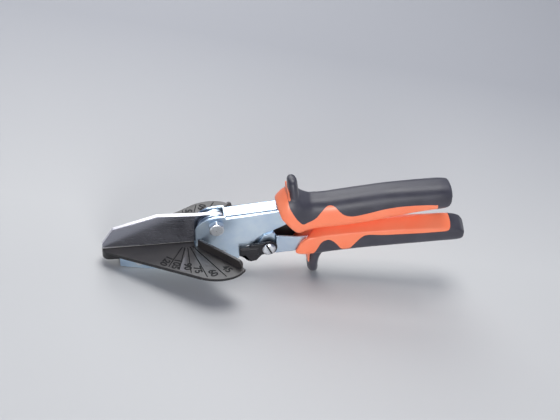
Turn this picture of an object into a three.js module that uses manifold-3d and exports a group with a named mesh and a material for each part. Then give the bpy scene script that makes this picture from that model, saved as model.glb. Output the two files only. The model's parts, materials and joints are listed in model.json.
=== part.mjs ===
// Mitre shears: a steel frame that carries an anvil table with fences, and a lever with a
// blade that turns in it. Both end in a two-colour handle. A latch on the lever keeps them shut.
// Millimetres. x runs along the cutting edge to the handles, y across the tool, z up from the
// table. The zero point is where the scale's lines meet on the table.

import * as THREE from 'three';
import { mergeVertices } from 'three/addons/utils/BufferGeometryUtils.js';
import Module from 'manifold-3d';

const wasm = await Module();
wasm.setup();

const degree = Math.PI / 180;

// Driving dimensions of the whole tool
const cuttingLength = 57.5;
const handleReach = 198;
const pivotBack = 19.8;
const pivotHeight = 16.4;
const openingAngle = 26;

// Clearances
const pinClearance = 0.2;
const fitGap = 0.3;
const overrun = 2;

// Anvil table and its fences
const noseBack = 52;
const noseRadius = 5.9;
const noseDepth = 6.2;
const wingAhead = 19.5;
const wingHalf = 41.7;
const wingRadius = 28.8;
const wingReach = 50;
const tableThickness = 2.2;
const fenceAngle = 45;
const fenceHeight = 6;
const fenceThickness = 2.2;
const fenceReach = 47.5;
const fenceCorner = 3.5;
const wingCorner = 4;
const wingTip = 1.5;
const lineAngles = [60, 75, 90, 105, 120];
const lineWidth = 0.7;
const lineDepth = 0.5;
const lineStart = 7;
const lineMargin = 4.5;
const bladeGrooveWidth = 4.2;
const bladeGrooveDepth = 0.7;
const edgeClearance = 0.35;
const ribAngles = [60, 90, 120];
const ribHeight = 3;
const ribWidth = 1.8;
const ribMargin = 5;
const keelDepth = 14;
const keelFront = 48;
const anvilPinRadius = 2;
const anvilPinFront = 33;
const anvilPinRear = 5;
const anvilPinDepth = 9.6;
const rivetHead = 0.8;

// Folded steel frame
const frameHalfWidth = 6.5;
const sheetThickness = 1.5;
const bendRadius = 3;
const noseFace = 5.6;
const webStart = 25.4;
const webHeight = 23.7;
const armFront = 46.4;
const armBottom = 12.1;
const cheekBottom = 19.5;
const cheekRear = 60;
const tangEnd = 145;
const tangDepth = 10;
const tangHeight = 28;

// Blade
const bladeThickness = 3;
const bladeHeight = 24.7;
const bladeTail = 23.5;
const bevelHeight = 1.3;
const bevelEdge = 0.5;

// Lever
const leverSheet = 1.4;
const leverNose = 38;
const leverFrontHalf = 3.1;
const leverMidHalf = 4.5;
const leverRearHalf = 8;
const leverTangHalf = 5.8;
const leverEye = 6.8;
const leverHead = 12.4;
const leverTaper = 6;
const leverSweep = 16;
const joggleLength = 2.1;
const leverNeck = 17;
const leverTangEnd = 150;
const leverDepth = 12;
const leverBend = 2.2;

// Pivot
const boltRadius = 3;
const bushWall = 1.1;
const boltHeadRadius = 5.6;
const boltHeadHeight = 2.8;
const nutAcross = 9.7;
const nutHeight = 4.6;
const nutChamfer = 0.7;
const washerRadius = 6.2;
const bladeRivetRadius = 2;
const bladeRivetSpacing = 13;
const stopPinRadius = 1.75;

// Spring
const springWire = 1.2;
const springCoil = 4.4;
const springPitch = 1.68;
const springTurns = 2.25;
const springBack = 49.8;
const springHeight = 1;
const springSides = 5;
const springSteps = 8;
const springBushWall = 0.9;

// Latch
const latchBack = 56;
const latchDrop = 5;
const latchLength = 20.5;
const latchDepth = 10.9;
const latchThickness = 2.4;
const latchEye = 6;
const latchBoss = 3;
const latchRidge = 0.9;
const screwRadius = 1.75;
const screwHeadRadius = 4.6;
const screwHeadHeight = 1.9;
const slotWidth = 1.5;
const slotDepth = 1.2;
const latchNutRadius = 3.1;
const latchNutHeight = 2.2;

// Handles
const gripWall = 2.2;
const gripSeam = 0.3;
const handleSides = 20;
const tangPinRadius = 2;
const tangPinBack = 112;
const upperFront = 60.5;
const upperHalfWidth = 11;
const upperHeight = 24.5;
const lowerFront = 76.5;
const lowerHalfWidth = 8.75;
const lowerHeight = 20;
const thumbGuardFront = 69.2;
const guardDepth = 5.8;
const guardRise = 15.2;
const fingerGuardFront = 83.1;
const fingerGuardDepth = 4.2;
const guardDrop = 20.5;
const guardHalfWidth = 8;
const guardFaceThickness = 1.4;

// Round features
const roundSides = 24;
const smallSides = 16;

// Finishes
const platedSteel = new THREE.MeshStandardMaterial({ color: 0xbcc4cc, roughness: 0.35, metalness: 0.9 });
const polishedSteel = new THREE.MeshStandardMaterial({ color: 0xc9ccd2, roughness: 0.15, metalness: 1 });
const brightSteel = new THREE.MeshStandardMaterial({ color: 0xd6dade, roughness: 0.2, metalness: 1 });
const springSteel = new THREE.MeshStandardMaterial({ color: 0x6d7076, roughness: 0.35, metalness: 0.9 });
const brass = new THREE.MeshStandardMaterial({ color: 0xb5985a, roughness: 0.4, metalness: 0.9 });
const blackPlastic = new THREE.MeshStandardMaterial({ color: 0x4a484b, roughness: 0.5, metalness: 0 });
const latchPlastic = new THREE.MeshStandardMaterial({ color: 0x26252a, roughness: 0.4, metalness: 0 });
const orangePlastic = new THREE.MeshStandardMaterial({ color: 0xf4683a, roughness: 0.45, metalness: 0 });
const softGrip = new THREE.MeshStandardMaterial({ color: 0x4b4852, roughness: 0.7, metalness: 0 });

// A closed solid from any closed geometry, with its faces turned outwards
function solid(geometry) {
  const bare = geometry.clone();
  bare.deleteAttribute('normal');
  bare.deleteAttribute('uv');
  const merged = mergeVertices(bare);
  const places = merged.getAttribute('position').array;
  const faces = [];
  for (let i = 0; i < merged.index.count; i += 3) {
    const [a, b, c] = [0, 1, 2].map((k) => merged.index.getX(i + k));
    if (a !== b && b !== c && c !== a) faces.push([a, b, c]);
  }
  const corner = (k) => new THREE.Vector3().fromArray(places, 3 * k);
  const volume = faces.reduce((sum, [a, b, c]) => sum + corner(a).dot(corner(b).cross(corner(c))), 0);
  const turned = volume < 0 ? faces.map(([a, b, c]) => [a, c, b]) : faces;
  return new wasm.Manifold(new wasm.Mesh({
    numProp: 3,
    vertProperties: new Float32Array(places),
    triVerts: new Uint32Array(turned.flat()),
  }));
}

// A named mesh from a solid
function piece(name, shape, material) {
  const { vertProperties, triVerts, numProp } = shape.getMesh();
  const geometry = new THREE.BufferGeometry();
  const places = new Float32Array((vertProperties.length / numProp) * 3);
  for (let i = 0; i < places.length / 3; i += 1) {
    for (let k = 0; k < 3; k += 1) places[3 * i + k] = vertProperties[numProp * i + k];
  }
  geometry.setAttribute('position', new THREE.BufferAttribute(places, 3));
  geometry.setIndex([...triVerts]);
  geometry.computeVertexNormals();
  const mesh = new THREE.Mesh(geometry, material);
  mesh.name = name;
  return mesh;
}

// Closed outline through points
function outline(points) {
  return new THREE.Shape(points.map(([u, v]) => new THREE.Vector2(u, v)));
}

// Solid between two levels across the tool, from an outline in x and z
function plate(shape, low, high) {
  const geometry = new THREE.ExtrudeGeometry(shape, {
    depth: high - low, bevelEnabled: false, curveSegments: roundSides / 2,
  });
  return solid(geometry.rotateX(90 * degree).translate(0, high, 0));
}

// Solid between two heights, from an outline in x and y
function slab(shape, low, high) {
  const geometry = new THREE.ExtrudeGeometry(shape, {
    depth: high - low, bevelEnabled: false, curveSegments: roundSides,
  });
  return solid(geometry.translate(0, 0, low));
}

// Rectangular block between two corners
function block(low, high) {
  const size = high.map((value, k) => value - low[k]);
  const middle = high.map((value, k) => (value + low[k]) / 2);
  return solid(new THREE.BoxGeometry(...size).translate(...middle));
}

// Round bar across the tool
function rod(radius, x, z, low, high, sides = roundSides) {
  const geometry = new THREE.CylinderGeometry(radius, radius, high - low, sides);
  return solid(geometry.translate(x, (low + high) / 2, z));
}

// Turned solid about an axis across the tool, from pairs of radius and place across
function turned(profile, x, z, sides = roundSides) {
  const points = profile.map(([radius, across]) => new THREE.Vector2(radius, across));
  return solid(new THREE.LatheGeometry(points, sides).translate(x, 0, z));
}

// Both mirror images of a solid about the tool's middle plane
function bothSides(shape) {
  return shape.add(shape.mirror([0, 1, 0]));
}

// Skin through rings of points, with flat ends; seen is how an end is laid flat to fill it
function loft(rings, seen = (point) => new THREE.Vector2(point.y, point.z)) {
  const count = rings[0].length;
  const faces = [];
  for (let i = 0; i + 1 < rings.length; i += 1) {
    for (let k = 0; k < count; k += 1) {
      const [a, b] = [i * count + k, i * count + ((k + 1) % count)];
      faces.push(a, b, b + count, a, b + count, a + count);
    }
  }
  const last = (rings.length - 1) * count;
  const cap = (ring) => THREE.ShapeUtils.triangulateShape(ring.map(seen), []);
  const clockwise = (ring) => THREE.ShapeUtils.isClockWise(ring.map(seen));
  const turn = clockwise(rings[0]) ? -1 : 1;
  const front = cap(rings[0]);
  const back = cap(rings[rings.length - 1]);
  const facesForward = frontFacing(rings[0], front, seen) * turn;
  front.forEach(([a, b, c]) => faces.push(...(facesForward > 0 ? [a, c, b] : [a, b, c])));
  const facesBack = frontFacing(rings[rings.length - 1], back, seen) * turn;
  back.forEach(([a, b, c]) => faces.push(...(facesBack > 0 ? [a, b, c] : [a, c, b]).map((k) => k + last)));
  const geometry = new THREE.BufferGeometry().setFromPoints(rings.flat());
  geometry.setIndex(faces);
  return solid(geometry);
}

// Whether the triangles of a filled end run the same way round as its ring
function frontFacing(ring, triangles, seen) {
  const flat = ring.map(seen);
  const area = (a, b, c) => (b.x - a.x) * (c.y - a.y) - (c.x - a.x) * (b.y - a.y);
  return Math.sign(triangles.reduce((sum, [a, b, c]) => sum + area(flat[a], flat[b], flat[c]), 0));
}

// Anvil table
const wingAcross = wingHalf - wingRadius;
const wingSlope = Math.atan2(wingAcross, wingAhead + noseBack)
  + Math.asin((wingRadius - noseRadius) / Math.hypot(wingAcross, wingAhead + noseBack));
const slotHalf = frameHalfWidth + fitGap;
const slotFront = noseFace - fitGap;
const keelHalf = frameHalfWidth - sheetThickness - fitGap;
const fenceCos = Math.cos(fenceAngle * degree);
const fenceSin = Math.sin(fenceAngle * degree);

// Point on the table from its reach along the near fence and its place behind the fence's face
function fencePoint(along, behind, side = -1) {
  return [along * fenceCos + behind * fenceSin, side * (along * fenceSin - behind * fenceCos)];
}

// Distance from the scale's centre to the table's edge, at an angle from the handle's side
function rimDistance(angle) {
  const [cos, sin] = [Math.cos(angle * degree), Math.sin(angle * degree)];
  const toMiddle = wingAhead * cos + wingAcross * sin;
  const span = wingRadius ** 2 - wingAhead ** 2 - wingAcross ** 2;
  const onWing = toMiddle + Math.sqrt(toMiddle ** 2 + span);
  const toEnd = wingReach / Math.cos((angle - fenceAngle) * degree);
  if (onWing * cos > wingAhead - wingRadius * Math.sin(wingSlope)) return Math.min(onWing, toEnd);
  const offset = wingRadius + wingAcross * Math.cos(wingSlope) - wingAhead * Math.sin(wingSlope);
  return offset / (sin * Math.cos(wingSlope) - cos * Math.sin(wingSlope));
}

function tablePlan() {
  const plan = new THREE.Shape();
  const tangent = Math.PI / 2 + wingSlope;
  const ahead = wingReach - wingAhead * fenceCos - wingAcross * fenceSin;
  const behind = wingAhead * fenceSin - wingAcross * fenceCos - Math.sqrt(wingRadius ** 2 - ahead ** 2);
  const [endX, endY] = fencePoint(wingReach, behind, 1);
  const endTurn = Math.atan2(endY - wingAcross, endX - wingAhead) + wingCorner / wingRadius;
  const inner = fencePoint(
    (slotHalf + fenceThickness * fenceCos) / fenceSin, fenceThickness, 1)[0];
  plan.absarc(-noseBack, 0, noseRadius, tangent, 2 * Math.PI - tangent, false);
  plan.absarc(wingAhead, -wingAcross, wingRadius, 2 * Math.PI - tangent, 2 * Math.PI - endTurn, false);
  plan.quadraticCurveTo(endX, -endY, ...fencePoint(wingReach, behind + wingCorner));
  plan.lineTo(...fencePoint(wingReach, fenceThickness - wingTip));
  plan.quadraticCurveTo(...fencePoint(wingReach, fenceThickness),
    ...fencePoint(wingReach - wingTip, fenceThickness));
  plan.lineTo(inner, -slotHalf);
  plan.lineTo(slotFront, -slotHalf);
  plan.lineTo(slotFront, slotHalf);
  plan.lineTo(inner, slotHalf);
  plan.lineTo(...fencePoint(wingReach - wingTip, fenceThickness, 1));
  plan.quadraticCurveTo(...fencePoint(wingReach, fenceThickness, 1),
    ...fencePoint(wingReach, fenceThickness - wingTip, 1));
  plan.lineTo(...fencePoint(wingReach, behind + wingCorner, 1));
  plan.quadraticCurveTo(endX, endY, wingAhead + wingRadius * Math.cos(endTurn),
    wingAcross + wingRadius * Math.sin(endTurn));
  plan.absarc(wingAhead, wingAcross, wingRadius, endTurn, tangent, false);
  return plan;
}

// Block under the tip, as wide as the tip and closed by the arms behind it
function nosePlan() {
  const plan = new THREE.Shape();
  plan.absarc(-noseBack, 0, noseRadius, Math.PI / 2, 1.5 * Math.PI, false);
  plan.lineTo(-armFront - fitGap, -noseRadius);
  plan.lineTo(-armFront - fitGap, noseRadius);
  return plan;
}

function anvilTable() {
  let table = slab(tablePlan(), -tableThickness, 0);
  table = table.add(slab(nosePlan(), -noseDepth, -tableThickness / 2));
  const fenceShape = new THREE.Shape();
  const fenceStart = slotHalf / fenceSin;
  fenceShape.moveTo(fenceStart, -tableThickness / 2);
  fenceShape.lineTo(fenceReach, -tableThickness / 2);
  fenceShape.lineTo(fenceReach, fenceHeight - fenceCorner);
  fenceShape.quadraticCurveTo(fenceReach, fenceHeight, fenceReach - fenceCorner, fenceHeight);
  fenceShape.lineTo(fenceStart, fenceHeight);
  const fence = plate(fenceShape, 0, fenceThickness).rotate([0, 0, -fenceAngle]);
  table = table.add(bothSides(fence.subtract(
    block([-wingHalf, -slotHalf, -noseDepth], [wingHalf, wingHalf, fenceHeight + overrun]))));
  const keel = outline([
    [-keelFront, -tableThickness / 2], [-keelFront, -noseDepth], [-anvilPinFront, -keelDepth],
    [slotFront, -keelDepth], [slotFront, -tableThickness / 2],
  ]);
  table = table.add(plate(keel, -keelHalf, keelHalf));
  for (const angle of ribAngles) {
    const rib = block([slotHalf / Math.sin(angle * degree), -ribWidth / 2, -tableThickness - ribHeight],
      [rimDistance(angle) - ribMargin, ribWidth / 2, -tableThickness / 2]);
    const trimmed = rib.rotate([0, 0, -angle]).subtract(
      block([-cuttingLength, -slotHalf, -keelDepth], [wingHalf, wingHalf, 0]));
    table = table.add(bothSides(trimmed));
  }
  for (const angle of lineAngles) {
    const line = block([lineStart, -lineWidth / 2, -lineDepth],
      [rimDistance(angle) - lineMargin, lineWidth / 2, lineDepth]);
    table = table.subtract(bothSides(line.rotate([0, 0, -angle])));
  }
  table = table.subtract(block([-cuttingLength - noseRadius, -bladeGrooveWidth / 2, -bladeGrooveDepth],
    [slotFront + overrun, bladeGrooveWidth / 2, overrun]));
  for (const x of [-anvilPinFront, -anvilPinRear]) {
    table = table.subtract(rod(anvilPinRadius + pinClearance, x, -anvilPinDepth,
      -keelHalf - overrun, keelHalf + overrun, smallSides));
  }
  return piece('anvil_table', table, blackPlastic);
}

// Folded frame
// Section of a folded channel: open at one height, closed by a web at the other
function channelRing(x, half, open, web, wall, bend) {
  const up = Math.sign(web - open);
  const points = [];
  const side = (reach, height, radius, steps) => {
    points.push([-reach, open]);
    for (const hand of [-1, 1]) {
      for (let k = 0; k <= steps; k += 1) {
        const turn = (hand < 0 ? k : steps - k) / steps * 90 * degree;
        points.push([hand * (reach - radius + radius * Math.cos(turn)),
          height - up * radius * (1 - Math.sin(turn))]);
      }
    }
    points.push([reach, open]);
  };
  side(half, web, bend, 3);
  const outer = points.splice(0);
  side(half - wall, web - up * wall, bend - wall, 3);
  const inner = points.splice(0).reverse();
  return [...outer, ...inner].map(([y, z]) => new THREE.Vector3(x, y, z));
}

// Height of the web's top along the frame
const webStations = [
  [webStart, webHeight, webHeight - bendRadius - sheetThickness],
  [cheekRear - overrun, webHeight + sheetThickness * 1.6, tangDepth * 0.8],
  [upperFront + tangDepth, tangHeight - sheetThickness / 2, tangDepth * 1.4],
  [upperFront + 3 * tangDepth, tangHeight, tangHeight - tangDepth],
  [tangEnd, tangHeight + sheetThickness / 2, tangHeight + sheetThickness / 2 - tangDepth],
];

// Space that a channel takes up inside a handle, with a gap all round it
function channelPocket(stations, wall, bend) {
  const last = stations.length - 1;
  return loft(stations.map(([x, web, open, half], k) => {
    const up = Math.sign(web - open) * fitGap;
    const at = k === last ? x + fitGap : x - (k === 0 ? overrun : 0);
    return channelRing(at, half + fitGap, open - up, web + up, wall + 2 * fitGap, bend + fitGap);
  }));
}

function bodyShell() {
  const cheek = new THREE.Shape();
  const top = webHeight - bendRadius - sheetThickness / 4;
  cheek.moveTo(noseFace, -tableThickness - fitGap);
  cheek.lineTo(noseFace, webHeight * 0.58);
  cheek.quadraticCurveTo(noseFace + 1.5 * sheetThickness, webHeight * 0.94, pivotBack, webHeight);
  cheek.lineTo(webStart + overrun / 2, webHeight);
  cheek.lineTo(webStart + overrun / 2, top);
  cheek.lineTo(cheekRear, top + sheetThickness);
  cheek.lineTo(cheekRear, cheekBottom * 0.44);
  cheek.quadraticCurveTo(cheekRear * 0.85, cheekBottom * 0.34, cheekRear * 0.785, cheekBottom * 0.08);
  cheek.quadraticCurveTo(cheekRear * 0.75, -cheekBottom * 0.11, cheekRear * 0.67, -cheekBottom * 0.2);
  cheek.lineTo(cheekRear * 0.61, -cheekBottom * 0.36);
  cheek.lineTo(cheekRear * 0.605, -cheekBottom * 0.68);
  cheek.quadraticCurveTo(cheekRear * 0.45, -cheekBottom * 0.98, 0, -cheekBottom);
  cheek.quadraticCurveTo(-armFront * 0.5, -cheekBottom * 0.96, -armFront, -armBottom);
  cheek.lineTo(-armFront, -tableThickness - fitGap);
  const near = plate(cheek, -frameHalfWidth, sheetThickness - frameHalfWidth);
  const channel = loft(webStations.map(([x, high, low]) =>
    channelRing(x, frameHalfWidth, low, high, sheetThickness, bendRadius)));
  let shell = bothSides(near).add(channel);
  const holes = [
    [boltRadius, pivotBack, pivotHeight], [anvilPinRadius, -anvilPinFront, -anvilPinDepth],
    [anvilPinRadius, -anvilPinRear, -anvilPinDepth], [stopPinRadius, ...stopPlace()],
    [tangPinRadius, tangPinBack, tangHeight - tangDepth / 2],
  ];
  for (const [radius, x, z] of holes) {
    const bore = rod(radius + pinClearance, x, z, -frameHalfWidth - overrun, frameHalfWidth + overrun,
      radius === boltRadius ? roundSides : smallSides);
    shell = shell.subtract(bore);
  }
  return piece('body_shell', shell, platedSteel);
}

// A point carried round the pivot as the lever opens
function opened([x, z], angle = openingAngle) {
  const turn = -angle * degree;
  const [dx, dz] = [x - pivotBack, z - pivotHeight];
  return [pivotBack + dx * Math.cos(turn) - dz * Math.sin(turn),
    pivotHeight + dx * Math.sin(turn) + dz * Math.cos(turn)];
}

// Lever: stations give place along, top, bottom and half width
const joggleStart = latchBack + latchBoss + fitGap;
const leverStations = [
  [leverNose, leverDepth * 1.25, -leverDepth * 0.3, leverFrontHalf],
  [leverNose + leverTaper, leverDepth * 1.1, -leverDepth * 0.62, leverMidHalf],
  [leverNose + leverSweep, leverDepth * 0.95, -leverDepth * 0.95, leverMidHalf],
  [joggleStart, leverDepth * 0.57, -leverDepth, leverMidHalf],
  [joggleStart + joggleLength, leverDepth * 0.36, -leverDepth, leverRearHalf],
  [lowerFront, leverDepth * 0.18, -leverDepth * 0.95, leverRearHalf],
  [lowerFront + leverNeck, 0, -leverDepth * 0.88, leverTangHalf],
  [leverTangEnd, -leverDepth * 0.12, -leverDepth * 0.88, leverTangHalf],
];

// Front edge of the lever below its eye, where the stop pin meets it when open
const leverEdge = [[pivotBack + leverEye * 0.55, pivotHeight - leverEye * 0.85],
  [leverNose, leverStations[0][2]]];

function stopPlace() {
  const [from, to] = leverEdge.map((point) => opened(point));
  const share = 0.85;
  const [dx, dz] = [to[0] - from[0], to[1] - from[1]];
  const away = (stopPinRadius + fitGap) / Math.hypot(dx, dz);
  return [from[0] + share * dx + dz * away, from[1] + share * dz - dx * away];
}

function leverChannel() {
  const eye = new THREE.Shape();
  const [nose, next] = leverStations;
  eye.moveTo(...leverEdge[0]);
  eye.lineTo(...leverEdge[1]);
  eye.lineTo(nose[0] + overrun, nose[2] + leverSheet);
  eye.lineTo(nose[0] + overrun, nose[1] + (next[1] - nose[1]) / 3);
  eye.lineTo(nose[0], nose[1]);
  eye.lineTo(pivotBack + leverEye * 0.7, pivotHeight + leverEye * 0.7);
  eye.absarc(pivotBack, pivotHeight, leverEye, 45 * degree, 90 * degree, false);
  eye.quadraticCurveTo(pivotBack - leverHead * 0.86, pivotHeight + leverEye * 0.86,
    pivotBack - leverHead, pivotHeight - leverEye * 0.36);
  eye.lineTo(pivotBack - leverHead, pivotHeight - leverEye * 0.6);
  eye.lineTo(pivotBack - leverEye * 0.6, pivotHeight - leverEye * 0.8);
  eye.absarc(pivotBack, pivotHeight, leverEye, 235 * degree, 300 * degree, false);
  const inner = leverFrontHalf - leverSheet;
  let lever = bothSides(plate(eye, -leverFrontHalf, -inner));
  lever = lever.add(loft(leverStations.map(([x, top, bottom, half]) =>
    channelRing(x, half, top, bottom, leverSheet, leverBend))));
  lever = lever.subtract(block([pivotBack - leverHead - overrun, -inner, -leverDepth - overrun],
    [leverNose + leverSheet, inner, webHeight + overrun]));
  const holes = [
    [boltRadius + bushWall, pivotBack, pivotHeight], [tangPinRadius, tangPinBack, -leverDepth / 2],
    ...rivetPlaces().map((place) => [bladeRivetRadius, ...place]),
  ];
  for (const [radius, x, z] of holes) {
    lever = lever.subtract(rod(radius + pinClearance, x, z, -leverRearHalf - overrun,
      leverRearHalf + overrun, radius === boltRadius + bushWall ? roundSides : smallSides));
  }
  lever = lever.subtract(rod(screwRadius + pinClearance, latchBack, -latchDrop,
    -leverRearHalf - overrun, 0, smallSides));
  return piece('lever_channel', lever, platedSteel);
}

// Blade: shares of the cutting length ahead of the zero point and of the blade's height
const bladeFrontShares = [[0.995, 0], [1, 0.19], [0.866, 0.656], [0.33, 1], [-0.106, 0.935]];

function rivetPlaces() {
  const back = leverNose - bladeRivetRadius;
  return [[back - bladeRivetSpacing * 0.45, pivotHeight - leverEye],
    [back, pivotHeight - leverEye - bladeRivetSpacing * 0.4]];
}

function blade() {
  const edge = -edgeClearance;
  const tail = pivotBack + bladeTail;
  const front = bladeFrontShares.map(([along, up]) =>
    [-along * cuttingLength, edge + up * (bladeHeight - edge)]);
  const shape = outline([
    ...front,
    [pivotBack, pivotHeight + leverEye], [pivotBack + leverEye * 0.55, pivotHeight + leverEye * 0.83],
    [pivotBack + leverEye, pivotHeight + leverEye * 0.55],
    [tail, pivotHeight - leverEye * 0.8], [tail, leverDepth / 4],
    [pivotBack + leverEye * 1.4, leverDepth * 0.35], [pivotBack - leverEye * 0.8, leverDepth / 4],
    [noseFace * 1.6, edge],
  ]);
  let cutter = plate(shape, -bladeThickness / 2, bladeThickness / 2);
  const bevel = new THREE.Shape();
  bevel.moveTo(-bladeThickness / 2 - overrun, edge - overrun);
  bevel.lineTo(-bevelEdge / 2, edge - overrun);
  bevel.lineTo(-bevelEdge / 2, edge);
  bevel.lineTo(-bladeThickness / 2, edge + bevelHeight);
  bevel.lineTo(-bladeThickness / 2 - overrun, edge + bevelHeight);
  const wedge = new THREE.ExtrudeGeometry(bevel, {
    depth: cuttingLength + noseFace * 2 + overrun, bevelEnabled: false,
  }).rotateX(90 * degree).rotateZ(90 * degree).translate(-cuttingLength - overrun, 0, 0);
  cutter = cutter.subtract(bothSides(solid(wedge)));
  cutter = cutter.subtract(rod(boltRadius + bushWall + pinClearance, pivotBack, pivotHeight,
    -bladeThickness, bladeThickness));
  for (const [x, z] of rivetPlaces()) {
    cutter = cutter.subtract(rod(bladeRivetRadius + pinClearance, x, z,
      -bladeThickness, bladeThickness, smallSides));
  }
  return piece('blade', cutter, polishedSteel);
}

// Pivot: bolt, nut, sleeve and washers
function pivotPieces() {
  const outside = frameHalfWidth + fitGap;
  const end = outside + nutHeight * 0.7;
  const bolt = turned([
    [0, -end], [boltRadius, -end], [boltRadius, outside], [boltHeadRadius, outside],
    [boltHeadRadius, outside + boltHeadHeight * 0.4], [boltHeadRadius * 0.7, outside + boltHeadHeight * 0.85],
    [0, outside + boltHeadHeight],
  ], pivotBack, pivotHeight);
  const bore = boltRadius + pinClearance;
  const corner = nutAcross / 2 / Math.cos(30 * degree);
  const crown = turned([
    [0, -outside], [corner, -outside], [corner, nutChamfer - outside - nutHeight],
    [nutAcross / 2 - nutChamfer / 2, -outside - nutHeight], [0, -outside - nutHeight],
  ], pivotBack, pivotHeight);
  const hexagon = rod(corner, pivotBack, pivotHeight, -outside - nutHeight, -outside, 6);
  const nut = hexagon.intersect(crown)
    .subtract(rod(bore, pivotBack, pivotHeight, -end - fitGap, 0));
  const inside = frameHalfWidth - sheetThickness - fitGap;
  const sleeve = rod(boltRadius + bushWall, pivotBack, pivotHeight, -inside, inside)
    .subtract(rod(bore, pivotBack, pivotHeight, -inside - overrun, inside + overrun));
  const hole = boltRadius + bushWall + pinClearance;
  const washer = (low, high) => rod(washerRadius, pivotBack, pivotHeight, low, high)
    .subtract(rod(hole, pivotBack, pivotHeight, low - overrun, high + overrun));
  return {
    bolt: piece('pivot_bolt', bolt, brightSteel),
    nut: piece('pivot_nut', nut, brightSteel),
    sleeve: piece('pivot_bushing', sleeve, brass),
    near: piece('thrust_washer_near', washer(-inside, -leverFrontHalf - fitGap), brightSteel),
    far: piece('thrust_washer_far', washer(leverFrontHalf + fitGap, inside), brightSteel),
  };
}

// Riveted pin across the tool, with low heads when it has any
function pin(name, radius, x, z, half, head, material) {
  let shape = rod(radius, x, z, -half - head, half + head, smallSides);
  if (head > 0) {
    const cap = rod(radius * 1.5, x, z, half + fitGap / 2, half + head, smallSides);
    shape = shape.add(bothSides(cap));
  }
  return piece(name, shape, material);
}

// Torsion spring: one wire of even turns round the bush, with a leg at each end
function springPath() {
  const points = [];
  const across = springPitch * springTurns;
  const turnSteps = Math.round(springTurns * springSteps);
  const place = (share) => {
    const angle = -share * springTurns * 2 * Math.PI;
    return new THREE.Vector3(springBack + springCoil * Math.cos(angle), across * (share - 0.5),
      springHeight + springCoil * Math.sin(angle));
  };
  const first = place(0);
  const last = place(1);
  const top = webHeight + sheetThickness / 2 - springWire;
  points.push(new THREE.Vector3(first.x, first.y, top - springWire / 2));
  points.push(new THREE.Vector3(first.x, first.y, (top + springHeight) / 2));
  for (let k = 0; k <= turnSteps; k += 1) points.push(place(k / turnSteps));
  const foot = last.x - springCoil * 1.1;
  const seat = leverFloor(foot) + fitGap + springWire / 2;
  points.push(new THREE.Vector3((last.x + foot) / 2, last.y, (last.z + seat) / 2));
  points.push(new THREE.Vector3(foot, last.y, seat));
  return points;
}

// Height of the lever's floor, inside, at a place along
function leverFloor(x) {
  const next = leverStations.findIndex(([place]) => place > x);
  const [[x0, , low0], [x1, , low1]] = [leverStations[next - 1], leverStations[next]];
  return low0 + ((low1 - low0) * (x - x0)) / (x1 - x0) + leverSheet;
}

function wire(points, radius, sides) {
  const rings = points.map((point, k) => {
    const before = points[Math.max(k - 1, 0)];
    const after = points[Math.min(k + 1, points.length - 1)];
    const along = after.clone().sub(before).normalize();
    const across = new THREE.Vector3(0, 1, 0).addScaledVector(along, -along.y).normalize();
    const other = along.clone().cross(across);
    return Array.from({ length: sides }, (_, i) => {
      const turn = (2 * Math.PI * i) / sides;
      return point.clone().addScaledVector(across, radius * Math.cos(turn))
        .addScaledVector(other, radius * Math.sin(turn));
    });
  });
  const faces = [];
  for (let i = 0; i + 1 < rings.length; i += 1) {
    for (let k = 0; k < sides; k += 1) {
      const [a, b] = [i * sides + k, i * sides + ((k + 1) % sides)];
      faces.push(a, b, b + sides, a, b + sides, a + sides);
    }
  }
  const last = (rings.length - 1) * sides;
  for (let k = 1; k + 1 < sides; k += 1) {
    faces.push(0, k + 1, k, last, last + k, last + k + 1);
  }
  const geometry = new THREE.BufferGeometry().setFromPoints(rings.flat());
  geometry.setIndex(faces);
  return solid(geometry);
}

// Least gap between turns that lie a turn apart, measured on points along the wire
function leastGap(points, radius) {
  const curve = new THREE.CatmullRomCurve3(points);
  const samples = curve.getSpacedPoints(points.length * 4);
  const apart = Math.ceil((samples.length * Math.PI * springCoil) / curve.getLength());
  let least = Infinity;
  samples.forEach((a, i) => {
    for (let k = i + apart; k < samples.length; k += 1) least = Math.min(least, a.distanceTo(samples[k]));
  });
  return least - 2 * radius;
}

function springPieces() {
  const points = springPath();
  console.log(`torsion spring: least gap to itself ${leastGap(points, springWire / 2).toFixed(2)} mm`);
  const outer = springCoil - springWire;
  const half = leverMidHalf - leverSheet - fitGap;
  const bore = rod(outer - springBushWall, springBack, springHeight, -leverMidHalf, leverMidHalf, smallSides);
  const tube = rod(outer, springBack, springHeight, -half, half, smallSides).subtract(bore);
  return {
    spring: piece('torsion_spring', wire(points, springWire / 2, springSides), springSteel),
    bush: piece('spring_bush', tube, brightSteel),
  };
}

// Latch: shares of its length ahead of the screw and of its depth below the screw's level
const latchShares = [
  [0, -0.4], [0.28, -0.37], [0.6, -0.34], [0.66, -0.17], [1, -0.16], [1, 0.48], [0.88, 0.56],
  [0.745, 0.88], [0.61, 1], [0.41, 0.95], [0.31, 0.7], [0.23, 0.52], [0, 0.42],
];

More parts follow.
